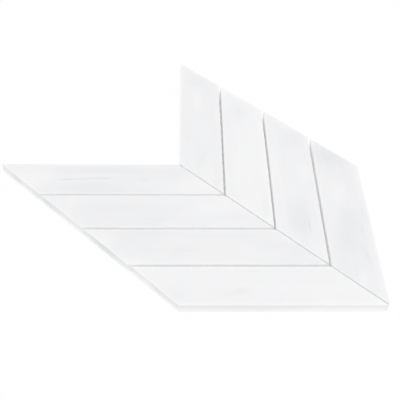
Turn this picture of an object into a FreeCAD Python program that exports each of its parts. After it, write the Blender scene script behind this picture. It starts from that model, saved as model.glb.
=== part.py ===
# Chevron wall tile: mitred stone planks in two wings, held at even joints by a glass-fibre net behind them.
# Frame: millimetres, +Z out of the polished face, the spine along Y with the chevron's point towards -Y.
# The origin is the middle of the sheet's outline, on its back.
import FreeCAD
import Part
import Sketcher
import math
import os

# Driving dimensions, in millimetres and degrees.
SIZES = {
    "plank_length": ("199.5", "long edge of one plank"),
    "plank_width": ("48.8", "across a plank, square to its long edges"),
    "plank_thickness": ("9.5", "stone only, without the net"),
    "mitre_angle": ("45", "between a long edge and the spine"),
    "rows": ("4", "planks in each wing"),
    "side_joint": ("2", "between the long edges of neighbouring planks"),
    "spine_joint": ("1.4", "between the two wings, square to the spine"),
    "arris": ("0.4", "bevel eased along the edges of the polished face"),
    "corner_blunting": ("0.2", "rubbed off a plank's sawn corners, past what that bevel needs"),
    "net_pitch": ("10", "between threads, both ways"),
    "thread_width": ("1.6", "flat width of one resin-coated thread"),
    "net_thickness": ("0.5", "of the net under the stone"),
    "net_margin": ("12", "net trimmed back from the outer edges of the stone"),
}
WINGS = {"left": -1, "right": 1}


def make_sheet(doc):
    """Puts the driving dimensions in a spreadsheet, one aliased cell each."""
    sheet = doc.addObject("Spreadsheet::Sheet", "Sizes")
    for row, (alias, (value, note)) in enumerate(SIZES.items(), start=1):
        sheet.set(f"A{row}", alias)
        sheet.set(f"B{row}", value)
        sheet.set(f"C{row}", note)
        sheet.setAlias(f"B{row}", alias)
    doc.recompute()
    return sheet


def flat_plane(body):
    """The XY plane of a body's own origin."""
    return next(plane for plane in body.Origin.OriginFeatures if plane.Role == "XY_Plane")


def plank_outline(body, sheet, hand):
    """Sketch of one parallelogram: its ends run along the spine, its long edges lean at the mitre angle."""
    mitre = math.radians(sheet.mitre_angle)
    run = hand * sheet.plank_length * math.sin(mitre)
    rise = sheet.plank_length * math.cos(mitre)
    end = sheet.plank_width / math.sin(mitre)
    corners = [
        FreeCAD.Vector(0, 0, 0),
        FreeCAD.Vector(run, rise, 0),
        FreeCAD.Vector(run, rise + end, 0),
        FreeCAD.Vector(0, end, 0),
    ]
    sketch = body.newObject("Sketcher::SketchObject", f"{body.Name}_outline")
    sketch.AttachmentSupport = (flat_plane(body), [""])
    sketch.MapMode = "FlatFace"
    long_edge, outer_end, far_edge, inner_end = (
        sketch.addGeometry(Part.LineSegment(start, stop), False)
        for start, stop in zip(corners, corners[1:] + corners[:1])
    )
    loop = [long_edge, outer_end, far_edge, inner_end]
    for edge, following in zip(loop, loop[1:] + loop[:1]):
        sketch.addConstraint(Sketcher.Constraint("Coincident", edge, 2, following, 1))
    sketch.addConstraint(Sketcher.Constraint("Coincident", long_edge, 1, -1, 1))
    sketch.addConstraint(Sketcher.Constraint("Vertical", outer_end))
    sketch.addConstraint(Sketcher.Constraint("Vertical", inner_end))
    sketch.addConstraint(Sketcher.Constraint("Parallel", long_edge, far_edge))
    length = Sketcher.Constraint("Distance", long_edge, sheet.plank_length)
    width = Sketcher.Constraint("Distance", inner_end, 1, long_edge, sheet.plank_width)
    lean = Sketcher.Constraint("Angle", long_edge, math.pi / 2 - hand * mitre)
    for name, constraint, formula in [
        ("length", length, "Sizes.plank_length"),
        ("width", width, "Sizes.plank_width"),
        ("lean", lean, f"(90 - {hand} * Sizes.mitre_angle) * 1 deg"),
    ]:
        sketch.renameConstraint(sketch.addConstraint(constraint), name)
        sketch.setExpression(f"Constraints.{name}", formula)
    return sketch


def edges_where(shape, test):
    """Names of the edges of a shape whose lowest and highest vertex heights pass a test."""
    names = []
    for number, edge in enumerate(shape.Edges, start=1):
        heights = [vertex.Z for vertex in edge.Vertexes]
        if test(min(heights), max(heights)):
            names.append(f"Edge{number}")
    return names


def make_plank(doc, sheet, wing, row):
    """One sawn plank: a slab with blunted corners and an eased face. Row 1 is at the notch."""
    hand = WINGS[wing]
    body = doc.addObject("PartDesign::Body", f"{wing}_plank_{row}")
    body.Label = f"{wing}_plank_{row}"
    pad = body.newObject("PartDesign::Pad", f"{body.Name}_slab")
    pad.Profile = plank_outline(body, sheet, hand)
    pad.setExpression("Length", "Sizes.plank_thickness")
    doc.recompute()

    tall = sheet.plank_thickness / 2
    blunted = body.newObject("PartDesign::Chamfer", f"{body.Name}_corners")
    blunted.Base = (pad, edges_where(pad.Shape, lambda low, high: high - low > tall))
    blunted.setExpression("Size", "2 * Sizes.arris + Sizes.corner_blunting")
    doc.recompute()

    eased = body.newObject("PartDesign::Chamfer", f"{body.Name}_arris")
    eased.Base = (blunted, edges_where(blunted.Shape, lambda low, high: low > tall))
    eased.setExpression("Size", "Sizes.arris")
    body.Tip = eased

    rows_up = f"(Sizes.rows / 2 - {row}) * (Sizes.plank_width + Sizes.side_joint)"
    up_spine = f"({rows_up} + Sizes.side_joint / 2) / sin(Sizes.mitre_angle * 1 deg)"
    half_rise = "Sizes.plank_length * cos(Sizes.mitre_angle * 1 deg) / 2"
    body.setExpression("Placement.Base.x", f"{hand} * Sizes.spine_joint / 2")
    body.setExpression("Placement.Base.y", f"{up_spine} - {half_rise}")
    body.setExpression("Placement.Base.z", "Sizes.net_thickness")
    return body


def net_outline(sheet):
    """Face of the right wing's net, from the spine's middle line to the margin inside the stone's edge."""
    mitre = math.radians(sheet.mitre_angle)
    slope = 1 / math.tan(mitre)
    stack = sheet.rows * (sheet.plank_width + sheet.side_joint) - sheet.side_joint
    rise = sheet.plank_length * math.cos(mitre)
    reach = sheet.spine_joint / 2 + sheet.plank_length * math.sin(mitre) - sheet.net_margin
    point = -(stack / math.sin(mitre) + rise) / 2 - slope * sheet.spine_joint / 2
    low = point + sheet.net_margin / math.sin(mitre)
    high = point + (stack - sheet.net_margin) / math.sin(mitre)
    corners = [
        FreeCAD.Vector(0, low, 0),
        FreeCAD.Vector(reach, low + reach * slope, 0),
        FreeCAD.Vector(reach, high + reach * slope, 0),
        FreeCAD.Vector(0, high, 0),
    ]
    return Part.Face(Part.makePolygon(corners + corners[:1]))


def flat_strip(x, y, across, along):
    """Flat rectangle about a centre on the floor: across is its size in X and along its size in Y."""
    return Part.makePlane(across, along, FreeCAD.Vector(x - across / 2, y - along / 2, 0))


def make_net(doc, sheet):
    """Right wing of the net. Whole threads run along the spine, half a pitch off its middle line, and short
    lengths of the threads across it bridge each bay between them. All are trimmed to the outline and fused.
    """
    outline = net_outline(sheet)
    box = outline.BoundBox
    pitch = sheet.net_pitch
    thread = sheet.thread_width
    columns = range(math.ceil(box.XMax / pitch) + 1)
    lines = range(math.floor(box.YMin / pitch), math.ceil(box.YMax / pitch) + 1)
    strips = [flat_strip((column + 0.5) * pitch, box.Center.y, thread, box.YLength) for column in columns]
    strips += [
        flat_strip(column * pitch, (line + 0.5) * pitch, pitch - thread, thread)
        for column in columns
        for line in lines
    ]
    trimmed = outline.common(strips)
    depth = FreeCAD.Vector(0, 0, sheet.net_thickness)
    threads = [face.extrude(depth) for face in trimmed.Faces]
    fused = threads[0].multiFuse(threads[1:])
    net = doc.addObject("Part::Feature", "right_net")
    net.Label = "right_net"
    # An offcut that the trimming leaves loose is not part of the net.
    net.Shape = max(fused.Solids, key=lambda solid: solid.Volume)
    return net


def mirror_net(doc, net):
    """Left wing of the net, which meets the right wing's cross threads on the spine's middle line."""
    mirrored = doc.addObject("Part::Mirroring", "left_net")
    mirrored.Label = "left_net"
    mirrored.Source = net
    mirrored.Normal = FreeCAD.Vector(1, 0, 0)
    return mirrored


def check(doc, pieces):
    """Stops before anything is written if an object failed or a piece is not one valid solid."""
    failed = [item.Name for item in doc.Objects if {"Invalid", "Error"} & set(item.State)]
    if failed:
        raise RuntimeError(f"failed to compute: {failed}")
    for piece in pieces:
        shape = piece.Shape
        if shape.isNull() or not shape.isValid() or len(shape.Solids) != 1:
            raise RuntimeError(f"{piece.Label} is not one valid solid")


def main():
    doc = FreeCAD.newDocument("chevron_wall_tile")
    sheet = make_sheet(doc)
    rows = range(1, int(sheet.rows) + 1)
    pieces = [make_plank(doc, sheet, wing, row) for wing in WINGS for row in rows]
    right_net = make_net(doc, sheet)
    pieces += [mirror_net(doc, right_net), right_net]
    doc.recompute()
    check(doc, pieces)
    os.makedirs("parts", exist_ok=True)
    for piece in pieces:
        piece.Shape.exportStep(f"parts/{piece.Label}.step")
        box = piece.Shape.BoundBox
        lengths = f"{box.XLength:.2f} x {box.YLength:.2f} x {box.ZLength:.2f} mm"
        print(piece.Label, lengths, f"{piece.Shape.Volume:.1f} mm3")


main()
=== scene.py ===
# %% [markdown]
# # A chevron wall tile
# The tile is a mosaic sheet: eight sawn planks of white marble, mitred at both ends and laid in two wings
# that meet along a spine, with a glass-fibre net glued behind them. The joints between the planks are open.
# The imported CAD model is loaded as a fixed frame, and every piece below is built where that frame says.

# %% Load the frame
import math

import bpy
import numpy as np
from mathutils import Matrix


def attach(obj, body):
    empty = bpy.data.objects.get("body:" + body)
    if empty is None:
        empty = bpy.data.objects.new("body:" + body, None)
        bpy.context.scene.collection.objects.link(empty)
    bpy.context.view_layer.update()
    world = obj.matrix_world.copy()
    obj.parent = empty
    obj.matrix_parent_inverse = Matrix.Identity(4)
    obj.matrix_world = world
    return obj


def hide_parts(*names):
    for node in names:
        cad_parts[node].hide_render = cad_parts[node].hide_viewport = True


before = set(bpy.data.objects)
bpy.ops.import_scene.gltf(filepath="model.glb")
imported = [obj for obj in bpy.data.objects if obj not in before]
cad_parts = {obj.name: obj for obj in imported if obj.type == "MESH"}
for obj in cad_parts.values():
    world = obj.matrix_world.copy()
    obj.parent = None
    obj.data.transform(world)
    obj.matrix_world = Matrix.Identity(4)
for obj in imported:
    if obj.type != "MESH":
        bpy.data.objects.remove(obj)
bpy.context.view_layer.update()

MM = 0.001

# %% [markdown]
# ## Where each plank lies
# A plank is a parallelogram. Its ends run along the spine, which is the Y axis, and its long edges lean
# away from the spine at the mitre angle. On a leaning edge the sum y - |x| / tan(mitre) doesn't change, so
# the smallest and largest of |x| and of that sum, over the CAD node's own points, give all four sides.
# Planks that are sawn one by one are never quite the same size, so a few of them are a little shorter or
# narrower than the CAD plank, by less than the joint between them, and some aren't quite true: an end is
# turned a little, or the sides come closer together towards it.

# %% Read the sides of each plank
MITRE = math.radians(45)
LEAN = 1 / math.tan(MITRE)
PLANKS = sorted(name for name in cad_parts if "_plank_" in name)
# Sawn sizes differ a little: how far an outer end or a low edge stops short of the CAD plank, in mm.
SHORT_BY = {
    "left_plank_1": 0.3, "left_plank_2": 0.35, "left_plank_3": 0.3, "left_plank_4": 0.5,
    "right_plank_4": 1.2,
}
NARROW_BY = {"left_plank_1": 0.3, "left_plank_2": 0.5, "left_plank_3": 0.3}
# How much shorter a plank is along its high edge than along its low one, in mm.
END_SKEW = {"left_plank_3": 0.8, "left_plank_4": 1.2}
# How much narrower a plank is at its outer end than at its inner one, in mm.
TAPER = {"right_plank_2": 0.15, "right_plank_3": 0.3, "right_plank_4": 0.6}


def node_points(node):
    """All vertices of a CAD node, one row each."""
    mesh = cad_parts[node].data
    points = np.empty(3 * len(mesh.vertices))
    mesh.vertices.foreach_get("co", points)
    return points.reshape(-1, 3)


def outline_limits(points):
    """Limits of |x| and of y - |x| / tan(mitre), and the lowest and highest z, of a set of points."""
    across = np.abs(points[:, 0])
    along = points[:, 1] - LEAN * across
    return {
        "inner": across.min(), "outer": across.max(),
        "low": along.min(), "high": along.max(),
        "back": points[:, 2].min(), "face": points[:, 2].max(),
    }


limits = {plank: outline_limits(node_points(plank)) for plank in PLANKS}
for plank, missing in SHORT_BY.items():
    limits[plank]["outer"] -= missing * MM
for plank, missing in NARROW_BY.items():
    limits[plank]["low"] += missing * MM / math.sin(MITRE)
for plank in PLANKS:
    print(plank, {name: round(value / MM, 2) for name, value in limits[plank].items()})

# %% [markdown]
# ## The outline of a sawn plank
# A modelled box with a Bevel modifier would do, but every edge would be perfect. Here the outline is a
# ring of base points with an outward normal at each, so that any row of the plank's surface is the ring
# pushed in or out along its normals. That leaves room for the small faults of a sawn edge, which are added
# as numbers.

# %% Ring of base points and normals
CORNER_RADIUS = 0.9 * MM
CORNER_STEPS = 4
LONG_STEPS = 150
END_STEPS = 52
SIDE_NORMALS = np.array([
    [math.cos(MITRE), -math.sin(MITRE)],
    [1, 0],
    [-math.cos(MITRE), math.sin(MITRE)],
    [-1, 0],
])
SIDE_STEPS = [LONG_STEPS, END_STEPS, LONG_STEPS, END_STEPS]


def outline_ring(side):
    """Base points and normals round the right-hand plank, anticlockwise from the inner low corner.

    Each side is moved in by the corner radius, and the moved sides are crossed in pairs to give four
    pivots. A straight run goes from pivot to pivot with its side's own normal. At a pivot the normal swings
    evenly round to the next side's, so that base + radius * normal is an outline with rounded corners.
    """
    offsets = np.array([
        -math.sin(MITRE) * side["low"], side["outer"], math.sin(MITRE) * side["high"], -side["inner"],
    ])
    pairs = np.stack([SIDE_NORMALS, np.roll(SIDE_NORMALS, -1, axis=0)], axis=1)
    levels = np.stack([offsets, np.roll(offsets, -1)], axis=1) - CORNER_RADIUS
    pivots = np.linalg.solve(pairs, levels[..., None])[..., 0]
    starts = np.roll(pivots, 1, axis=0)
    angles = np.arctan2(SIDE_NORMALS[:, 1], SIDE_NORMALS[:, 0])
    turns = (np.roll(angles, -1) - angles) % (2 * math.pi)
    swing = np.linspace(0, 1, 2 * CORNER_STEPS + 1)[1:-1]
    base, heading = [], []
    for number, steps in enumerate(SIDE_STEPS):
        part_way = np.linspace(0, 1, steps)[:, None]
        base.append(starts[number] + part_way * (pivots[number] - starts[number]))
        base.append(np.tile(pivots[number], (len(swing), 1)))
        heading.append(np.full(steps, angles[number]))
        heading.append(angles[number] + turns[number] * swing)
    heading = np.concatenate(heading)
    normals = np.stack([np.cos(heading), np.sin(heading)], axis=1)
    return np.roll(np.concatenate(base), CORNER_STEPS, axis=0), np.roll(normals, CORNER_STEPS, axis=0)


base, normals = outline_ring(limits["right_plank_1"])
print("ring of", len(base), "points")

# %% [markdown]
# ## The faults of a sawn edge
# A saw leaves an edge that bows by a tenth of a millimetre or two, and rubbing the arris down by hand
# leaves it wider in some places than in others, with a small chip here and there. All of these are smooth
# noise that closes on itself round the outline: a handful of cosines with random phases.

# %% Closed noise and the profile of an edge
ARRIS, FOOT = 0.4 * MM, 0.12 * MM
ARRIS_WANDER, ARRIS_WAVE = 0.05 * MM, 35 * MM
CHIP_DEPTH, CHIP_WAVE = 0.35 * MM, 9 * MM
# Noise above this level is a chip, and the chip is full depth where the noise is higher by the rise.
CHIP_LEVEL, CHIP_RISE = 1.35, 0.25
# An edge lies inside its limit by this many bows on average, and nowhere outside it.
BOW, BOW_WAVE, BOW_INSET = 0.09 * MM, 160 * MM, 1.2
# A finer ripple on the bow, as a share of it.
RIPPLE_SHARE, RIPPLE_WAVE = 0.1, 14 * MM
ARRIS_STEPS, WALL_STEPS, FOOT_STEPS = 5, 4, 3
# How many cosines make up a noise, and the range of their numbers of waves, as shares of the one asked for.
WAVES, WAVE_SPREAD = 9, (0.6, 1.6)


def loop_noise(place, wave, rng):
    """Noise of about -1 to 1 round a closed loop: a sum of cosines of random phase, each of which goes
    round a whole number of times, with wavelengths spread about the one asked for. place is the length
    so far."""
    length = place[-1]
    turns = np.round(length / wave * rng.uniform(*WAVE_SPREAD, WAVES))
    phases = rng.uniform(0, 2 * math.pi, WAVES)
    waves = np.cos(2 * math.pi * np.outer(place / length, turns) + phases)
    return waves.sum(axis=1) / math.sqrt(2 * WAVES)


def corner_free(normals):
    """0 at a corner and beside it, rising to 1 along the straight sides: one less the share of a corner's
    own points that lie within a few points of each place on the ring."""
    on_corner = np.abs(normals @ SIDE_NORMALS.T).max(axis=1) < 1 - 1e-9
    window = range(-2 * CORNER_STEPS, 2 * CORNER_STEPS + 1)
    near = np.sum([np.roll(on_corner, shift) for shift in window], axis=0)
    return 1 - near / (2 * CORNER_STEPS - 1)


def edge_profile(base, normals, side, rng):
    """Inset and height of each row of the plank's edge, from the face, over the arris, down the wall and
    round the foot to the back: a quarter circle of the arris radius, a straight wall and a small quarter
    circle."""
    steps = np.linalg.norm(np.diff(base + CORNER_RADIUS * normals, axis=0, append=base[:1]), axis=1)
    place = np.cumsum(steps)
    free = corner_free(normals)
    chips = np.clip((loop_noise(place, CHIP_WAVE, rng) - CHIP_LEVEL) / CHIP_RISE, 0, 1) * (free == 1)
    arris = ARRIS + ARRIS_WANDER * free * loop_noise(place, ARRIS_WAVE, rng) + CHIP_DEPTH * chips
    wander = loop_noise(place, BOW_WAVE, rng) + RIPPLE_SHARE * loop_noise(place, RIPPLE_WAVE, rng)
    bow = BOW * (BOW_INSET + free * wander).clip(0)
    foot = np.full(len(place), FOOT)
    down = np.linspace(math.pi / 2, 0, ARRIS_STEPS + 1)[:, None]
    under = np.linspace(0, math.pi / 2, FOOT_STEPS + 1)[:, None]
    part_way = np.linspace(0, 1, WALL_STEPS + 1)[1:-1, None]
    top, bottom = side["face"] - arris, side["back"] + foot
    inset = np.concatenate([
        bow + arris * (1 - np.cos(down)),
        np.tile(bow, (len(part_way), 1)),
        bow + foot * (1 - np.cos(under)),
    ])
    height = np.concatenate([
        top + arris * np.sin(down),
        top + part_way * (bottom - top),
        bottom - foot * np.sin(under),
    ])
    return inset, height


inset, height = edge_profile(base, normals, limits["right_plank_1"], np.random.default_rng(1))
print("deepest chip, mm:", round(inset.max() / MM, 2), " arris rows:", ARRIS_STEPS + 1)

# %% [markdown]
# ## The faces of a plank
# The honed face and the sawn back each fill the inside of a closed ring. One big polygon would shade
# badly beside a rounded edge, so the ring's four sides are blended into a grid instead, as a Coons patch:
# the two long sides are blended across, the two ends along, and the blend of the four corners is taken off
# once.

# %% Grid inside a ring
LONG_SPAN = LONG_STEPS + 2 * CORNER_STEPS - 1
END_SPAN = END_STEPS + 2 * CORNER_STEPS - 1


def share_along(first, second):
    """Share of the way along a pair of opposite sides at each of their points, as the mean of the two."""
    lengths = np.linalg.norm(np.diff([first, second], axis=1), axis=2).cumsum(axis=1)
    return np.concatenate([[0], (lengths / lengths[:, -1:]).mean(axis=0)])


def fill_ring(ring):
    """Coons patch: (1-v) low + v high + (1-u) inner + u outer, less the bilinear blend of the corners."""
    closed = np.concatenate([ring, ring[:1]])
    cuts = np.cumsum([0, LONG_SPAN, END_SPAN, LONG_SPAN, END_SPAN])
    low, outer, high, inner = (closed[start:stop + 1] for start, stop in zip(cuts, cuts[1:]))
    high, inner = high[::-1], inner[::-1]
    u = share_along(low, high)[None, :, None]
    v = share_along(inner, outer)[:, None, None]
    sides = (1 - v) * low[None] + v * high[None] + (1 - u) * inner[:, None] + u * outer[:, None]
    corners = (1 - v) * ((1 - u) * low[0] + u * low[-1]) + v * ((1 - u) * high[0] + u * high[-1])
    return sides - corners


def rim_numbers():
    """Grid numbers of the patch's rim, in the order of the ring that it fills."""
    grid = np.arange((END_SPAN + 1) * (LONG_SPAN + 1)).reshape(END_SPAN + 1, LONG_SPAN + 1)
    return grid, np.concatenate([grid[0, :-1], grid[:-1, -1], grid[-1, :0:-1], grid[:0:-1, 0]])


def quads(numbers):
    """Four corner numbers of every cell of a grid of vertex numbers, anticlockwise."""
    cells = [numbers[:-1, :-1], numbers[:-1, 1:], numbers[1:, 1:], numbers[1:, :-1]]
    return np.stack(cells, axis=-1).reshape(-1, 4)


grid, rim = rim_numbers()
print("face grid", grid.shape, "with a rim of", len(rim))

# %% [markdown]
# ## The skin of a plank
# The rows of the edge join the face grid to the back grid, and share their rims with them, so each plank is
# one closed skin with no seam to leak light. Each face of the skin also gets a number for its finish: honed
# on top and over the upper part of the arris, sawn on the edges, and sawn on the back.

# %% Skin of one plank
FACE, SAWN_EDGE, SAWN_BACK = range(3)
# Rows of the arris, from the face, that were honed with it. The rows below take the sawn edge's finish,
# with its painted shade.
HONED_STEPS = 2


def plank_skin(side, rng):
    """Vertices, quads and finish numbers of one right-hand plank: face grid, edge rows, back grid."""
    base, normals = outline_ring(side)
    inset, height = edge_profile(base, normals, side, rng)
    rows = base + normals * (CORNER_RADIUS - inset)[..., None]
    rows = np.concatenate([rows, height[..., None]], axis=2)
    face, back = fill_ring(rows[0]), fill_ring(rows[-1])
    grid, rim = rim_numbers()
    walls = grid.size + np.arange((len(rows) - 2) * len(base)).reshape(len(rows) - 2, -1)
    back_first = grid.size + walls.size
    ladder = np.concatenate([rim[None], walls, back_first + rim[None]])
    ladder = np.concatenate([ladder, ladder[:, :1]], axis=1)
    vertices = np.concatenate([face.reshape(-1, 3), rows[1:-1].reshape(-1, 3), back.reshape(-1, 3)])
    edge_quads = quads(ladder)[:, ::-1]
    faces = np.concatenate([quads(grid), edge_quads, quads(back_first + grid)[:, ::-1]])
    honed = HONED_STEPS * len(base)
    finish = np.full(len(faces), FACE)
    grid_cells = len(quads(grid))
    finish[grid_cells + honed:] = SAWN_EDGE
    finish[-grid_cells:] = SAWN_BACK
    return vertices, faces, finish


vertices, faces, finish = plank_skin(limits["right_plank_1"], np.random.default_rng(1))
print("one plank:", len(vertices), "vertices,", len(faces), "faces")

# %% [markdown]
# ## Building the planks
# The left wing's planks are mirror images, so their faces are turned round to point outwards. Each vertex
# stores its place along, across and into its own plank, which the marble is painted by: grain then follows
# the length of the plank in both wings, as it does in strips sawn from one slab.

# %% Plank pieces
# Each plank has faults of its own, so each draws them with a seed of its own, counted from this one.
FIRST_SEED = 20


def grain_place(vertices, side):
    """Place in the plank: along its long edge from the inner end, across it from the low edge, and up from
    the back."""
    corner = np.array([side["inner"], side["low"] + LEAN * side["inner"], side["back"]])
    from_corner = vertices - corner
    along = np.array([math.sin(MITRE), math.cos(MITRE), 0])
    across = np.array([-math.cos(MITRE), math.sin(MITRE), 0])
    return from_corner @ np.stack([along, across, [0, 0, 1]], axis=1)


def make_untrue(vertices, side, skew, taper):
    """Moves points more and more towards the outer end, by their share of the way out and up from the low
    edge. For the skew they slide along the plank, out by half of it at the low edge and in by half at the
    high one. For the taper they sink along the ends, which brings the high edge in by all of it."""
    out = (vertices[:, 0] - side["inner"]) / (side["outer"] - side["inner"])
    up = (vertices[:, 1] - LEAN * vertices[:, 0] - side["low"]) / (side["high"] - side["low"])
    slide = np.outer(skew * out * (0.5 - up), [math.sin(MITRE), math.cos(MITRE), 0])
    sink = np.outer(taper * out * up, [0, -1 / math.sin(MITRE), 0])
    return vertices + slide + sink


def new_mesh(name, vertices, faces):
    """A smooth-shaded mesh object at the origin, from an array of vertices and a list of faces."""
    mesh = bpy.data.meshes.new(name)
    mesh.from_pydata(vertices.tolist(), [], faces)
    mesh.polygons.foreach_set("use_smooth", np.ones(len(mesh.polygons), bool))
    piece = bpy.data.objects.new(name, mesh)
    bpy.context.scene.collection.objects.link(piece)
    return piece


def build_plank(plank, seed):
    """One plank as its own piece, which stands for its CAD node."""
    hand = -1 if plank.startswith("left") else 1
    side = limits[plank]
    vertices, faces, finish = plank_skin(side, np.random.default_rng(seed))
    vertices = make_untrue(vertices, side, END_SKEW.get(plank, 0) * MM, TAPER.get(plank, 0) * MM)
    place = grain_place(vertices, side)
    piece = new_mesh(f"{plank}_stone", vertices * [hand, 1, 1], faces[:, ::hand].tolist())
    piece.data.polygons.foreach_set("material_index", finish)
    stored = piece.data.attributes.new("grain", "FLOAT_VECTOR", "POINT")
    stored.data.foreach_set("vector", place.ravel())
    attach(piece, "root")
    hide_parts(plank)
    return piece


stones = {plank: build_plank(plank, FIRST_SEED + number) for number, plank in enumerate(PLANKS)}
for plank, stone in stones.items():
    print(stone.name, len(stone.data.polygons), "quads")

# %% [markdown]
# ## Wiring materials
# Materials here are small trees of nodes. A few helpers keep the wiring short: one adds a node and joins or
# sets its sockets, and the others are the nodes that come back again and again. A socket is given by name,
# or by number where names repeat.

# %% Node helpers
NOISE_ROUGHNESS, NOISE_MIDDLE = 0.55, 0.5
# Levels that most of a noise lies between.
MOST_NOISE = (0.3, 0.7)


def put(tree, kind, sockets=(), **settings):
    """Adds a node. A socket that is given another node's output is linked to it, and any other value is
    set."""
    node = tree.nodes.new(kind)
    for name, value in settings.items():
        setattr(node, name, value)
    for name, value in dict(sockets).items():
        if isinstance(value, bpy.types.NodeSocket):
            tree.links.new(value, node.inputs[name])
        else:
            node.inputs[name].default_value = value
    return node


def math_of(tree, operation, *values):
    """Output of a Math node."""
    return put(tree, "ShaderNodeMath", enumerate(values), operation=operation).outputs[0]


def blend(tree, factor, first, second):
    """Colour output of a mix from first to second."""
    sockets = {0: factor, 6: first, 7: second}
    return put(tree, "ShaderNodeMix", sockets, data_type="RGBA").outputs[2]


def stretched_noise(tree, place, scale, detail):
    """Fractal noise that has its own scale, in cycles a unit, along each of the three axes of a place."""
    stretched = put(tree, "ShaderNodeMapping", {"Vector": place, "Scale": scale}).outputs[0]
    sockets = {"Vector": stretched, "Scale": 1.0, "Detail": detail, "Roughness": NOISE_ROUGHNESS}
    return put(tree, "ShaderNodeTexNoise", sockets).outputs[0]


def ramp(tree, value, low, high, to_low=0.0, to_high=1.0):
    """Smooth step from to_low at low to to_high at high."""
    sockets = {"Value": value, 1: low, 2: high, 3: to_low, 4: to_high}
    return put(tree, "ShaderNodeMapRange", sockets, interpolation_type="SMOOTHSTEP").outputs[0]


def noise_layer(tree, place, scale, detail, levels, tones=(0.0, 1.0)):
    """Stretched noise as a tone: a smooth step from the first tone at the lower of two levels of the noise
    to the second tone at the higher one."""
    return ramp(tree, stretched_noise(tree, place, scale, detail), *levels, *tones)


def join(tree, first, *others):
    """Sum of several tones."""
    total = first
    for other in others:
        total = math_of(tree, "ADD", total, other)
    return total


def add_bump(tree, shader, height, strength, depth):
    """Bends a shader's normal as a surface that rises by height * depth would, by a share of strength."""
    bump = put(tree, "ShaderNodeBump", {"Height": height, "Strength": strength, "Distance": depth})
    tree.links.new(bump.outputs[0], shader.inputs["Normal"])


def new_finish(name):
    """A material, its node tree and its shader."""
    material = bpy.data.materials.new(name)
    material.use_nodes = True
    return material, material.node_tree, material.node_tree.nodes["Principled BSDF"]


print("helpers ready")

# %% [markdown]
# ## Marks on single planks
# Natural stone has marks that are there once and nowhere else: a grey cloud, a paler patch, a thin vein.
# They could be painted as an image, but then they would have a resolution. Here each is a soft spot, a ball
# squeezed to an ellipse, set by its place on its plank in millimetres. A long, very narrow ellipse is a
# vein.

# %% Marks on single planks
# Each mark: along, across, half length, half width (mm), turn (degrees), tone.
MARKS = {
    "left_plank_1": [
        (150, 24.0, 36, 0.9, -3, 0.36),
        (171, 22.9, 15, 0.9, -2.4, 0.50),
        (129, 25.1, 16, 0.9, -3.6, 0.50),
        (85.5, 21.6, 7, 0.9, 0, 0.32),
        (130, 39, 75, 10, 0, 0.12),
        (128, 10, 45, 14, 0, 0.06),
        (25, 16, 45, 24, 0, -0.10),
        (208, 28, 36, 28, 0, -0.11),
    ],
    "left_plank_2": [
        (126, 20, 40, 28, 0, 0.07),
        (58, 30, 36, 16, 0, -0.07),
        (215, 38, 24, 16, 0, -0.07),
    ],
    "left_plank_3": [
        (155, 44, 45, 7, 0, 0.06),
        (118, 40.5, 75, 0.9, 0, 0.12),
        (118, 37.2, 75, 0.9, 0, 0.12),
        (143, 20, 30, 14, 0, 0.05),
        (192, 5, 20, 9, 0, -0.10),
        (222, 34, 18, 14, 0, -0.06),
    ],
    "left_plank_4": [
        (140, 17.5, 15, 6, -12, 0.13),
        (147, 15, 34, 11, 0, 0.05),
        (62, 30, 20, 1.2, 0, 0.08),
        (64, 34, 18, 1.0, 0, 0.07),
        (50, 12, 50, 18, 0, -0.06),
        (212, 36, 30, 18, 0, -0.08),
    ],
    "right_plank_1": [
        (58, 23, 24, 8, -20, 0.10),
        (150, 45, 70, 3, 0, 0.06),
        (205, 30, 16, 18, 0, 0.08),
        (165, 27, 28, 10, 0, -0.08),
        (30, 14, 20, 10, 0, -0.06),
    ],
    "right_plank_2": [
        (30, 6, 32, 8, 0, 0.10),
        (196, 24, 26, 16, 0, 0.07),
        (145, 38, 20, 8, 0, 0.05),
        (105, 24, 70, 16, -10, -0.07),
    ],
    "right_plank_3": [
        (68, 25, 45, 18, 0, 0.11),
        (52, 13.5, 14, 1.4, 2, 0.22),
        (196, 20, 28, 20, 0, 0.09),
        (132, 12, 32, 10, 0, -0.08),
        (150, 42, 45, 7, 0, -0.08),
    ],
    "right_plank_4": [
        (90, 26, 50, 22, 0, 0.09),
        (62, 11.5, 22, 4, 6, 0.14),
        (97, 11, 9, 2.4, 0, 0.14),
        (124, 6, 12, 1.6, 0, 0.16),
        (218, 26, 26, 30, 0, 0.14),
        (155, 26, 28, 16, 0, -0.09),
        (32, 20, 22, 10, 0, -0.08),
    ],
}

# Overall tone of each plank, because strips from different parts of a slab differ a little.
SHADES = {
    "left_plank_1": 0.085, "left_plank_2": 0.055, "left_plank_3": 0.08, "left_plank_4": 0.025,
    "right_plank_1": 0.07, "right_plank_2": 0.0, "right_plank_3": 0.07, "right_plank_4": 0.1,
}


def mark_tone(tree, place, mark):
    """Tone of one soft mark: 1 at its centre, falling to 0 at the ellipse's edge, times its strength."""
    along, across, half_length, half_width, turn, strength = mark
    sockets = {
        "Vector": place,
        "Location": (along * MM, across * MM, 0),
        "Rotation": (0, 0, math.radians(turn)),
        "Scale": (half_length * MM, half_width * MM, 1),
    }
    ellipse = put(tree, "ShaderNodeMapping", sockets, vector_type="TEXTURE").outputs[0]
    ball = put(tree, "ShaderNodeTexGradient", {"Vector": ellipse}, gradient_type="SPHERICAL")
    return ramp(tree, ball.outputs["Fac"], 0.0, 1.0, 0.0, strength)


print("marks on", len(MARKS), "planks")

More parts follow.
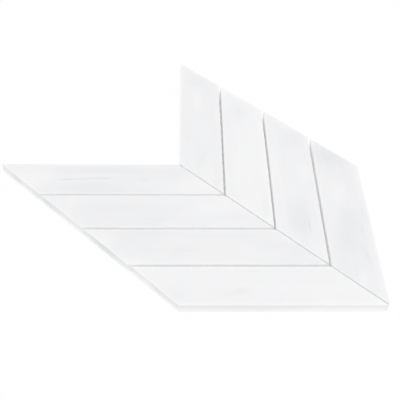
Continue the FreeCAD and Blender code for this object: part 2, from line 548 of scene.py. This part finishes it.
# %% [markdown]
# ## Honed marble
# White marble is never one flat white. It has soft cool clouds a few centimetres across, fine streaks that
# run with the bedding, and here and there a hairline vein. A picture of a slab would look the same on every
# plank, so each is noise that is stretched along the plank, and a vein runs where such a noise passes
# through its middle. They add up to one tone, and the tone mixes the white of the stone towards grey. Every
# plank reads the noise from a place of its own in the slab, so that no two match.

# %% Tone of the marble
STONE_WHITE = (0.905, 0.907, 0.915, 1)
STONE_GREY = (0.58, 0.59, 0.62, 1)
# How far apart the planks lie in the slab, in metres.
SLAB_STEP = (1.7, 0.61, 0.23)
# Scales are in cycles a metre along, across and into the plank.
CLOUDS = {"scale": (11, 26, 26), "detail": 4, "levels": (0.40, 0.75), "tones": (0.0, 0.10)}
STREAKS = {"scale": (7, 330, 330), "detail": 4, "levels": (0.50, 0.78), "tones": (0.0, 0.06)}
STREAK_ZONES = {"scale": (5, 22, 22), "detail": 1, "levels": (0.45, 0.70)}
VEIN_PATHS = {"scale": (6, 30, 30), "detail": 5}
VEIN_BREAKS = {"scale": (14, 14, 14), "detail": 2, "levels": (0.55, 0.70)}
# How far off its middle the noise may be on a vein, and the tone along the middle of a vein.
VEIN_REACH, VEIN_TONE = 0.006, 0.10
# Fine noise that makes marks ragged, and its whole swing.
WAVER_SCALE, WAVER = 260.0, 1.6 * MM


def slab_place(tree, number):
    """The stored place in the plank, and the same place moved to the plank's own part of the slab."""
    place = put(tree, "ShaderNodeAttribute", attribute_name="grain").outputs["Vector"]
    moved = {"Vector": place, "Location": [step * number for step in SLAB_STEP]}
    return place, put(tree, "ShaderNodeMapping", moved).outputs[0]


def marble_tone(tree, slab):
    """Sum of soft clouds, streaks that come and go in zones, and broken hairline veins."""
    clouds, streaks, zones, breaks = (
        noise_layer(tree, slab, **layer) for layer in (CLOUDS, STREAKS, STREAK_ZONES, VEIN_BREAKS)
    )
    warped = stretched_noise(tree, slab, **VEIN_PATHS)
    off_vein = math_of(tree, "ABSOLUTE", math_of(tree, "SUBTRACT", warped, NOISE_MIDDLE))
    veins = ramp(tree, off_vein, 0.0, VEIN_REACH, VEIN_TONE, 0.0)
    streaked = math_of(tree, "MULTIPLY", streaks, zones)
    veined = math_of(tree, "MULTIPLY", veins, breaks)
    return join(tree, clouds, streaked, veined)


def wavered_place(tree, place):
    """The place in the plank moved by up to half the swing of a fine noise each way, so that marks have
    ragged edges."""
    noise = put(tree, "ShaderNodeTexNoise", {"Vector": place, "Scale": WAVER_SCALE, "Detail": 3.0})
    middle = {0: noise.outputs["Color"], 1: [NOISE_MIDDLE] * 3}
    shift = put(tree, "ShaderNodeVectorMath", middle, operation="SUBTRACT").outputs[0]
    small = put(tree, "ShaderNodeVectorMath", {0: shift, "Scale": WAVER}, operation="SCALE").outputs[0]
    return put(tree, "ShaderNodeVectorMath", {0: place, 1: small}, operation="ADD").outputs[0]


print("marble white", STONE_WHITE[:3], "grey", STONE_GREY[:3])

# %% [markdown]
# ## The honed face
# The tone of the slab, the plank's own shade and its marks are added up, and fine bedding makes the sum a
# little stronger and weaker in lines along the plank. Last comes the sparkle of the crystals, which are
# fractions of a millimetre across: they change the tone, the roughness and the bump by a very small amount.
# Light goes a few millimetres into marble before it comes out again. Plain paint would look like plaster,
# so the shader scatters some of the light below the surface.

# %% Marble face
BEDDING = {"scale": (6, 420, 420), "detail": 3, "levels": (0.35, 0.65), "tones": (0.88, 1.12)}
CRYSTALS = {"Scale": 1900.0, "Detail": 2.0}
CRYSTAL_LEVELS, CRYSTAL_TONES = (0.35, 0.75), (0.0, 0.03)
# Here and further on, a bump is given by its strength and its depth.
CRYSTAL_BUMP = (0.04, 0.05 * MM)
HONED_ROUGHNESS = (0.30, 0.42)
STONE_SCATTER = (1.0, 0.96, 0.92)
SCATTER_DEPTH = 4 * MM


def marble_face(plank, number):
    """Honed white marble for one plank's face and the upper part of its arris."""
    material, tree, shader = new_finish(f"honed_marble_{plank}")
    place, slab = slab_place(tree, number)
    wavered = wavered_place(tree, place)
    marks = [mark_tone(tree, wavered, mark) for mark in MARKS[plank]]
    tone = join(tree, marble_tone(tree, slab), SHADES[plank], *marks)
    tone = math_of(tree, "MULTIPLY", tone, noise_layer(tree, slab, **BEDDING))
    crystals = put(tree, "ShaderNodeTexNoise", {"Vector": slab, **CRYSTALS}).outputs[0]
    tone = join(tree, tone, ramp(tree, crystals, *CRYSTAL_LEVELS, *CRYSTAL_TONES))
    tree.links.new(blend(tree, tone, STONE_WHITE, STONE_GREY), shader.inputs["Base Color"])
    tree.links.new(ramp(tree, crystals, *MOST_NOISE, *HONED_ROUGHNESS), shader.inputs["Roughness"])
    add_bump(tree, shader, crystals, *CRYSTAL_BUMP)
    shader.inputs["Specular IOR Level"].default_value = 0.4
    shader.inputs["Subsurface Weight"].default_value = 0.7
    shader.inputs["Subsurface Radius"].default_value = STONE_SCATTER
    shader.inputs["Subsurface Scale"].default_value = SCATTER_DEPTH
    return material


face_finishes = [marble_face(plank, number) for number, plank in enumerate(PLANKS)]
print(len(face_finishes), "honed faces")

# %% [markdown]
# ## Inside and outside the sheet
# Edges that face a joint and edges that face out from the sheet get different painted shade, and
# the floor gives off light beside the sheet but not under it. Both materials ask the same question: is a
# point outside the chevron? A mask could be painted, but limits on |x| and on the leaning sum answer it
# exactly, as they did for the planks.

# %% Test for the outline
outline = outline_limits(np.concatenate([node_points(plank) for plank in PLANKS]))
OUTLINE_MARGIN = 1.7 * MM


def sheet_place(tree):
    """Outputs for the x and y of a point in the sheet's own frame."""
    place = put(tree, "ShaderNodeTexCoord").outputs["Object"]
    return put(tree, "ShaderNodeSeparateXYZ", {0: place}).outputs[:2]


def past_outline(tree, fade):
    """0 inside the sheet's outline and 1 outside it, with the outline drawn in by a small margin. Inside is
    where |x| and y - |x| / tan(mitre) both lie between their limits, and the step from 0 to 1 is as wide as
    the fade."""
    x, y = sheet_place(tree)
    across = math_of(tree, "ABSOLUTE", x)
    along = math_of(tree, "SUBTRACT", y, math_of(tree, "MULTIPLY", across, LEAN))
    deep = OUTLINE_MARGIN + fade
    past_end = ramp(tree, across, outline["outer"] - deep, outline["outer"] - OUTLINE_MARGIN)
    past_low = ramp(tree, along, outline["low"] + deep, outline["low"] + OUTLINE_MARGIN)
    past_high = ramp(tree, along, outline["high"] - deep, outline["high"] - OUTLINE_MARGIN)
    return math_of(tree, "MAXIMUM", past_end, math_of(tree, "MAXIMUM", past_low, past_high))


print("outline, mm:", {name: round(value / MM, 2) for name, value in outline.items()})

# %% [markdown]
# ## Sawn edges
# Only the face is honed. The edges keep the fine lines of the cross-cut saw and are dull and a little
# chalky, so they have a material of their own, where the face's would make them look polished. Painted
# shade in their colour makes them greyer towards the face, more on the outside of the sheet and in the
# mouths of the joints than further in, and less in the spine. It also darkens the lower rows of the arris.
# Some of them also have grey or pale clouds, where the bedding comes out at the cut.

# %% Sawn edge
SAWN_WHITE = (0.98, 0.98, 0.98, 1)
SAWN_SHADE = (0.76, 0.765, 0.78, 1)
SAW_LINES = {"scale": (1500, 1500, 90), "detail": 3}
SAW_LINE_LEVELS, SAW_LINE_TONES = (0.45, 0.80), (0.0, 0.10)
SAW_LINE_BUMP = (0.25, 0.1 * MM)
SAWN_PATCHES = {"scale": (40, 40, 120), "detail": 2, "levels": (0.50, 0.75), "tones": (0.0, 0.07)}
# Painted shade next to the face, on the outside of the sheet and in the joints, and the heights above
# the back between which it fades in.
OUTSIDE_SHADE, OUTSIDE_HEIGHTS = 0.50, (0.0, 7 * MM)
JOINT_SHADE, JOINT_HEIGHTS = 0.37, (6 * MM, 9 * MM)
# How far in from the outline the painted shade of the outside fades to that of a joint.
MOUTH_FADE = 5 * MM
# Share of the joint's painted shade that is left in the spine, and how far from its middle the spine
# reaches.
SPINE_SHARE, SPINE_REACH = 0.6, 1.2 * MM
# Marks on the outer ends and on the front edge, in the same form as those on the faces.
END_MARKS = {
    "left_plank_1": [(228, 28, 12, 5, 45, 0.28), (203, 3, 9, 5, 45, 0.20)],
    "left_plank_2": [(238, 38, 26, 5, 45, 0.30), (204, 4, 12, 5, 45, -0.10)],
    "left_plank_3": [(226, 26, 36, 5, 45, 0.42)],
    "left_plank_4": [(221, 21, 9, 5, 45, 0.18), (232, 32, 9, 5, 45, -0.15), (140, 0, 110, 4, 0, 0.15)],
}


def painted_wall_shade(tree, place):
    """Painted shade that rises with the height above the back: one band on the outside, one in the
    joints, and less of it in the spine."""
    height = put(tree, "ShaderNodeSeparateXYZ", {0: place}).outputs[2]
    outside = ramp(tree, height, *OUTSIDE_HEIGHTS, 0.0, OUTSIDE_SHADE)
    in_joint = ramp(tree, height, *JOINT_HEIGHTS, 0.0, JOINT_SHADE)
    across = math_of(tree, "ABSOLUTE", sheet_place(tree)[0])
    share = ramp(tree, across, SPINE_REACH, 2 * SPINE_REACH, SPINE_SHARE, 1.0)
    inside = math_of(tree, "MULTIPLY", in_joint, share)
    at_outline = math_of(tree, "MULTIPLY", past_outline(tree, MOUTH_FADE), outside)
    return math_of(tree, "MAXIMUM", at_outline, inside)


def sawn_edge(plank, number):
    """Dull stone with fine saw lines at right angles to the face, and painted shade that greys it towards
    the face.
    """
    material, tree, shader = new_finish(f"sawn_edge_{plank}")
    place, slab = slab_place(tree, number)
    lines = stretched_noise(tree, place, **SAW_LINES)
    line_tone = ramp(tree, lines, *SAW_LINE_LEVELS, *SAW_LINE_TONES)
    patches = noise_layer(tree, slab, **SAWN_PATCHES)
    marks = [mark_tone(tree, place, mark) for mark in END_MARKS.get(plank, [])]
    # The last term is painted shade, greyer towards the face.
    tone = join(tree, line_tone, patches, *marks, painted_wall_shade(tree, place))
    tree.links.new(blend(tree, tone, SAWN_WHITE, SAWN_SHADE), shader.inputs["Base Color"])
    add_bump(tree, shader, lines, *SAW_LINE_BUMP)
    shader.inputs["Roughness"].default_value = 0.75
    return material


edge_finishes = [sawn_edge(plank, number) for number, plank in enumerate(PLANKS)]
print(len(edge_finishes), "sawn edges")

# %% [markdown]
# ## Sawn back
# The back keeps the long arcs of the blade that cut the slab. Noise stretched along the plank would draw
# them straight, so they are noise read by the distance from the blade's axle. Resin has wicked out from
# the threads of the net, and leaves a slightly darker, shinier band along each of them, which widens and
# narrows with the patches of the stone.

# %% Sawn back
RESIN_TINT = (0.74, 0.735, 0.71, 1)
SAW_RADIUS = 350 * MM
ARCS = {"Scale": 700.0, "Detail": 4.0}
ARC_LEVELS, ARC_TONE, ARC_BUMP = (0.35, 0.75), 0.3, (0.3, 0.1 * MM)
BACK_PATCHES = {"scale": (35, 35, 35), "detail": 4}
BACK_PATCH_LEVELS, BACK_PATCH_TONES = (0.45, 0.80), (0.0, 0.3)
NET_PITCH = 10 * MM
# Smallest and largest reach of the resin from a thread, and the shares of it between which the resin fades.
RESIN_REACH, RESIN_EDGE = (0.9 * MM, 2.8 * MM), (0.6, 1.0)
RESIN_SHARE = 0.75
# Roughness of the bare back and of the resin.
BACK_ROUGHNESS = (0.8, 0.4)
# The part of the slab that the backs are read from.
BACK_PLACE = 5


def thread_distance(tree, value):
    """Distance in metres from the nearest thread of one direction: threads lie half a pitch off the
    middle."""
    turns = math_of(tree, "FRACT", math_of(tree, "DIVIDE", value, NET_PITCH))
    off_thread = math_of(tree, "ABSOLUTE", math_of(tree, "SUBTRACT", turns, 0.5))
    return math_of(tree, "MULTIPLY", off_thread, NET_PITCH)


def blade_lines(tree, slab):
    """Noise of the distance from a blade's axle, which lies off to the side of the plank."""
    axle = {"Vector": slab, "Location": (0, SAW_RADIUS, 0)}
    from_axle = put(tree, "ShaderNodeMapping", axle).outputs[0]
    radius = put(tree, "ShaderNodeVectorMath", {0: from_axle}, operation="LENGTH").outputs["Value"]
    arcs = put(tree, "ShaderNodeTexNoise", {"W": radius, **ARCS}, noise_dimensions="1D").outputs[0]
    return ramp(tree, arcs, *ARC_LEVELS)


def sawn_back():
    """Dull stone with the arcs of a large blade, and resin along the threads of the net."""
    material, tree, shader = new_finish("sawn_marble_back")
    slab = slab_place(tree, BACK_PLACE)[1]
    lines = blade_lines(tree, slab)
    patches = stretched_noise(tree, slab, **BACK_PATCHES)
    patch_tone = ramp(tree, patches, *BACK_PATCH_LEVELS, *BACK_PATCH_TONES)
    tone = join(tree, math_of(tree, "MULTIPLY", lines, ARC_TONE), patch_tone)
    stone = blend(tree, tone, SAWN_WHITE, SAWN_SHADE)
    near = math_of(tree, "MINIMUM", *(thread_distance(tree, value) for value in sheet_place(tree)))
    spread = ramp(tree, patches, *MOST_NOISE, *RESIN_REACH)
    resin = ramp(tree, math_of(tree, "DIVIDE", near, spread), *RESIN_EDGE, RESIN_SHARE, 0.0)
    tree.links.new(blend(tree, resin, stone, RESIN_TINT), shader.inputs["Base Color"])
    tree.links.new(ramp(tree, resin, 0.0, RESIN_SHARE, *BACK_ROUGHNESS), shader.inputs["Roughness"])
    add_bump(tree, shader, lines, *ARC_BUMP)
    return material


back_finish = sawn_back()
for stone, face_finish, edge_finish in zip(stones.values(), face_finishes, edge_finishes):
    for finish in (face_finish, edge_finish, back_finish):
        stone.data.materials.append(finish)
print("finished", len(stones), "planks with face, edge and back")

# %% [markdown]
# ## The net on the back
# A glass-fibre net is a gauze weave. Flat yarns run across the sheet, and pairs of thin yarns run along it:
# at each crossing one of the pair passes over the flat yarn and one under it, and between crossings they
# swap sides, which locks the mesh open. An image of a net with holes would look flat from the side, so each
# yarn is a shape of its own. First come their paths, all as one array for each kind of yarn.

# %% Paths of the yarns
net = outline_limits(np.concatenate([node_points("left_net"), node_points("right_net")]))
NET_MIDDLE = (net["back"] + net["face"]) / 2
# Half the width and half the thickness of each kind of yarn.
FLAT_YARN = (0.80 * MM, 0.09 * MM)
THIN_YARN = (0.35 * MM, 0.08 * MM)
PAIR_REACH = 0.45 * MM
PAIR_LIFT = (net["face"] - net["back"]) / 2 - THIN_YARN[1]
SAMPLES_PER_PITCH = 10


def half_pitches(low, high):
    """Places of the threads between two limits: half a pitch off every whole number of pitches."""
    first, last = math.ceil(low / NET_PITCH - 0.5), math.floor(high / NET_PITCH - 0.5)
    return (np.arange(first, last + 1) + 0.5) * NET_PITCH


def pair_paths():
    """Paths of the thin pairs along the sheet: x swings as a cosine of one turn in two pitches, and z as
    a cosine of one turn in one pitch, with opposite signs for the two yarns of a pair."""
    columns = half_pitches(-net["outer"], net["outer"])
    samples = round((net["high"] - net["low"]) / NET_PITCH * SAMPLES_PER_PITCH)
    y = np.linspace(net["low"], net["high"], samples) + LEAN * np.abs(columns)[:, None]
    phase = math.pi * (y / NET_PITCH - 0.5)
    paths = [
        np.stack([columns[:, None] + sign * PAIR_REACH * np.cos(phase), y,
                  NET_MIDDLE + sign * PAIR_LIFT * np.cos(2 * phase)], axis=-1)
        for sign in (1, -1)
    ]
    return np.concatenate(paths)


def flat_paths():
    """Paths of the flat yarns across the sheet. Below the notch a yarn crosses both wings, and above it
    each wing has its own."""
    lines = half_pitches(net["low"], net["high"] + LEAN * net["outer"])
    reach = np.minimum(net["outer"], (lines - net["low"]) / LEAN)
    start = np.maximum((lines - net["high"]) / LEAN, 0)
    whole = start == 0
    ends = np.concatenate([
        np.stack([-reach[whole], reach[whole], lines[whole]], axis=1),
        np.stack([start[~whole], reach[~whole], lines[~whole]], axis=1),
        np.stack([-reach[~whole], -start[~whole], lines[~whole]], axis=1),
    ])
    part_way = np.linspace(0, 1, 2 * SAMPLES_PER_PITCH)
    x = ends[:, :1] + part_way * (ends[:, 1:2] - ends[:, :1])
    return np.stack([x, np.broadcast_to(ends[:, 2:], x.shape), np.full(x.shape, NET_MIDDLE)], axis=-1)


pairs, flats = pair_paths(), flat_paths()
print(len(pairs), "thin yarns and", len(flats), "flat yarns")

# %% [markdown]
# ## Yarns as tubes
# A curve object with a bevel would sweep a round section, but a yarn that is pressed on to stone is flat.
# So an ellipse is carried along each path instead: path points, plus the same ring of offsets at each of
# them. Every vertex stores its place along and around its yarn, and the number of the yarn, for the fibre
# lines.

# %% Tubes along the paths
THIN_SIDES, FLAT_SIDES = 6, 8


def yarn_tubes(paths, section, sides, across, first):
    """Ellipses carried along many paths at once. Each ring lies across its path, level with the sheet: an
    offset of half width * cos sideways and half thickness * sin upwards. A polygon closes each cut end."""
    turn = 2 * math.pi * np.arange(sides) / sides
    sideways = section[0] * np.cos(turn)[:, None] * np.array(across)
    upwards = section[1] * np.sin(turn)[:, None] * np.array([0, 0, 1])
    rings = paths[:, :, None, :] + sideways + upwards
    count, samples = paths.shape[:2]
    numbers = first + np.arange(rings.size // 3).reshape(count, samples, sides)
    after = np.roll(numbers, -1, axis=2)
    skin = np.stack([numbers[:, :-1], numbers[:, 1:], after[:, 1:], after[:, :-1]], axis=-1)
    caps = np.concatenate([numbers[:, 0], numbers[:, -1, ::-1]])
    lengths = np.linalg.norm(np.diff(paths, axis=1, prepend=paths[:, :1]), axis=2).cumsum(axis=1)
    place = np.stack(np.broadcast_arrays(
        lengths[:, :, None], turn / (2 * math.pi), np.arange(count)[:, None, None]), axis=-1)
    return rings.reshape(-1, 3), skin.reshape(-1, 4).tolist() + caps.tolist(), place.reshape(-1, 3)


thin = yarn_tubes(pairs, THIN_YARN, THIN_SIDES, (1, 0, 0), 0)
flat = yarn_tubes(flats, FLAT_YARN, FLAT_SIDES, (0, -1, 0), len(thin[0]))
backing = new_mesh("backing_net", np.concatenate([thin[0], flat[0]]), thin[1] + flat[1])
fibre = backing.data.attributes.new("yarn", "FLOAT_VECTOR", "POINT")
fibre.data.foreach_set("vector", np.concatenate([thin[2], flat[2]]).ravel())
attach(backing, "root")
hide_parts("left_net", "right_net")
print("net faces:", len(backing.data.polygons))

# %% [markdown]
# ## Glass-fibre yarn
# The yarns are bundles of glass threads under a coat of resin: off-white, with fine lines that run along
# each bundle, and glossier where the coat is thicker. The lines could be modelled thread by thread, but
# they are far finer than the yarn, so they are tone and bump, read from the place that each vertex stores.

# %% Yarn material
YARN_PALE = (0.88, 0.88, 0.86, 1)
YARN_DARK = (0.68, 0.68, 0.64, 1)
# Scales are in cycles a metre along the yarn, in cycles a turn around it, and from yarn to yarn.
FIBRE_LINES = {"scale": (120, 22, 5.3), "detail": 2}
FIBRE_LEVELS, FIBRE_TONES = (0.40, 0.75), (0.0, 0.6)
FIBRE_BUMP = (0.4, 0.03 * MM)
COAT_BLOTCHES = {"scale": (260, 1, 3.1), "detail": 2}
COAT_LEVELS, COAT_TONES = (0.50, 0.80), (0.0, 0.4)
COAT_ROUGHNESS = (0.65, 0.4)


def glass_yarn():
    """Resin-coated glass fibre: lines along the yarn, and blotches where the coat is thicker."""
    material, tree, shader = new_finish("glass_fibre_yarn")
    place = put(tree, "ShaderNodeAttribute", attribute_name="yarn").outputs["Vector"]
    lines = stretched_noise(tree, place, **FIBRE_LINES)
    blotches = stretched_noise(tree, place, **COAT_BLOTCHES)
    line_tone = ramp(tree, lines, *FIBRE_LEVELS, *FIBRE_TONES)
    tone = join(tree, line_tone, ramp(tree, blotches, *COAT_LEVELS, *COAT_TONES))
    tree.links.new(blend(tree, tone, YARN_PALE, YARN_DARK), shader.inputs["Base Color"])
    tree.links.new(ramp(tree, blotches, *MOST_NOISE, *COAT_ROUGHNESS), shader.inputs["Roughness"])
    add_bump(tree, shader, lines, *FIBRE_BUMP)
    return material


backing.data.materials.append(glass_yarn())
print("yarn colour", YARN_PALE[:3], "to", YARN_DARK[:3])

# %% [markdown]
# ## Studio floor
# The tile lies on a white floor that runs on past the picture. A plain matt floor would come out grey here
# and there, so the floor gives off most of its white itself where it is looked at: it stays white, and what
# is left of the matt white still shows the shade along the edges. Under the sheet it gives off nothing, so
# the joints stay dark.

# %% Floor
FLOOR_SIZE = 8.0
FLOOR_WHITE = (0.97, 0.97, 0.97, 1)
FULL_WHITE = (1, 1, 1, 1)
# Share of the white that the floor gives off beside the sheet, and the distances from the sheet's middle,
# in metres, between which it rises to all of it.
FLOOR_GLOW, GLOW_NEAR, GLOW_FAR = 0.9, 0.25, 0.8
# How far in the floor's own light fades away under the sheet.
UNDER_FADE = 0.1 * MM


def looked_at(tree):
    """1 for a ray that shows a surface to the camera, directly, in a reflection or through glass."""
    path = put(tree, "ShaderNodeLightPath").outputs
    mirrored = math_of(tree, "MAXIMUM", path["Is Glossy Ray"], path["Is Transmission Ray"])
    return math_of(tree, "MAXIMUM", path["Is Camera Ray"], mirrored)


def floor_material():
    """Matt white, with most of the white given off by the floor itself where it is looked at."""
    material = bpy.data.materials.new("studio_floor")
    material.use_nodes = True
    tree = material.node_tree
    tree.nodes.clear()
    matt = put(tree, "ShaderNodeBsdfDiffuse", {"Color": FLOOR_WHITE}).outputs[0]
    glow = put(tree, "ShaderNodeEmission", {"Color": FULL_WHITE, "Strength": 1.0}).outputs[0]
    from_middle = put(tree, "ShaderNodeTexCoord").outputs["Object"]
    distance = put(tree, "ShaderNodeVectorMath", {0: from_middle}, operation="LENGTH").outputs["Value"]
    by_distance = ramp(tree, distance, GLOW_NEAR, GLOW_FAR, FLOOR_GLOW, 1.0)
    beside_sheet = math_of(tree, "MULTIPLY", past_outline(tree, UNDER_FADE), by_distance)
    share = math_of(tree, "MULTIPLY", looked_at(tree), beside_sheet)
    mixed = put(tree, "ShaderNodeMixShader", {0: share, 1: matt, 2: glow}).outputs[0]
    put(tree, "ShaderNodeOutputMaterial", {"Surface": mixed})
    return material


half = FLOOR_SIZE / 2
corners = np.array([[-half, -half, 0], [half, -half, 0], [half, half, 0], [-half, half, 0]])
floor = new_mesh("floor", corners, [[0, 1, 2, 3]])
floor.data.materials.append(floor_material())
print("floor", FLOOR_SIZE, "m wide")

# %% [markdown]
# ## Sky and lamp
# An even white sky gives most of the light, and one large soft lamp above and in front gives the rest, so
# that the edges that face the front are a little lighter than the others. A photo studio would use a light
# tent. The level is set so that a colour on the upper face renders about as it is written.

# %% Sky and lamp
from mathutils import Matrix, Vector

SKY_LEVEL = 0.90
LAMP_PLACE, LAMP_SIZE, LAMP_POWER = (0.0, -1.1, 2.35), 1.6, 9.1
# White walls a joint's width apart pass light on many times before it is lost.
BOUNCES = 32

world = bpy.data.worlds.new("sky")
bpy.context.scene.world = world
world.use_nodes = True
tree = world.node_tree
level = math_of(tree, "ADD", math_of(tree, "MULTIPLY", looked_at(tree), 1.0 - SKY_LEVEL), SKY_LEVEL)
tree.links.new(level, tree.nodes["Background"].inputs["Strength"])
tree.nodes["Background"].inputs["Color"].default_value = FULL_WHITE
bpy.context.scene.cycles.max_bounces = BOUNCES
bpy.context.scene.cycles.diffuse_bounces = BOUNCES


def soft_lamp(name, place, size, power):
    """A square area lamp that looks at the middle of the tile."""
    lamp = bpy.data.lights.new(name, "AREA")
    lamp.size = size
    lamp.energy = power
    holder = bpy.data.objects.new(name, lamp)
    turn = (-Vector(place)).to_track_quat("-Z", "Y")
    holder.matrix_world = Matrix.Translation(place) @ turn.to_matrix().to_4x4()
    bpy.context.scene.collection.objects.link(holder)


soft_lamp("key_lamp", LAMP_PLACE, LAMP_SIZE, LAMP_POWER)
print("sky level", SKY_LEVEL, "and a lamp of", LAMP_POWER, "W")

# %% [markdown]
# ## Camera
# The tile is seen from its front left, from above and with a long lens, so that its edges hardly converge.
# The camera is set by its place, the way it heads, how far it looks down and a slight roll, and the three
# turns are put together in that order, rather than aimed at a target, so that each can be changed alone.

# %% Camera
CAMERA_PLACE = (-0.4629, -0.4028, 0.5914)
HEADING, DOWN, ROLL = math.radians(-46.41), math.radians(43.88), math.radians(1.061)
FOCAL_LENGTH, SENSOR_WIDTH = 70.26, 36
lens = bpy.data.cameras.new("camera")
lens.lens = FOCAL_LENGTH
lens.sensor_width = SENSOR_WIDTH
camera = bpy.data.objects.new("camera", lens)
camera.matrix_world = (
    Matrix.Translation(CAMERA_PLACE)
    @ Matrix.Rotation(HEADING, 4, "Z")
    @ Matrix.Rotation(math.pi / 2 - DOWN, 4, "X")
    @ Matrix.Rotation(ROLL, 4, "Z")
)
bpy.context.scene.collection.objects.link(camera)
bpy.context.scene.camera = camera
bpy.context.scene.view_settings.view_transform = "Standard"
print("camera looks down by", round(math.degrees(DOWN), 1), "degrees")
